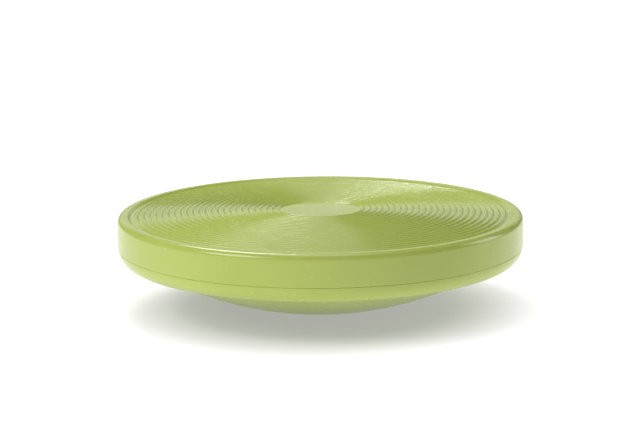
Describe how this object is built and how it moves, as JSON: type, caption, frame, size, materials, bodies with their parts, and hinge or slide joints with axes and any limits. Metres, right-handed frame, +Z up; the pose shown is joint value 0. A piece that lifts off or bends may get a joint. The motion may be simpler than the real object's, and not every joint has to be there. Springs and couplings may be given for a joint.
{
  "type": "balance board",
  "caption": "Round hollow balance board with a ridged, slightly crowned deck on a shallow rocking dome, for standing balance exercise.",
  "frame": {"origin": "the lowest point of the dome, where the board touches the floor, on the board's axis", "axes": "+Z up along the board's axis of symmetry; +X through one of the rim screws, the board being round"},
  "size_m": [0.4, 0.4, 0.0992],
  "materials": {
    "shell_plastic": "lime-green moulded plastic, satin gloss",
    "screw_steel": "bright zinc-plated steel",
    "pad_rubber": "matt dark soft rubber"
  },
  "bodies": {
    "root": {"top_shell": "shell_plastic", "bottom_shell": "shell_plastic", "rim_screws": "screw_steel", "centre_screws": "screw_steel", "floor_pad": "pad_rubber"}
  },
  "joints": []
}
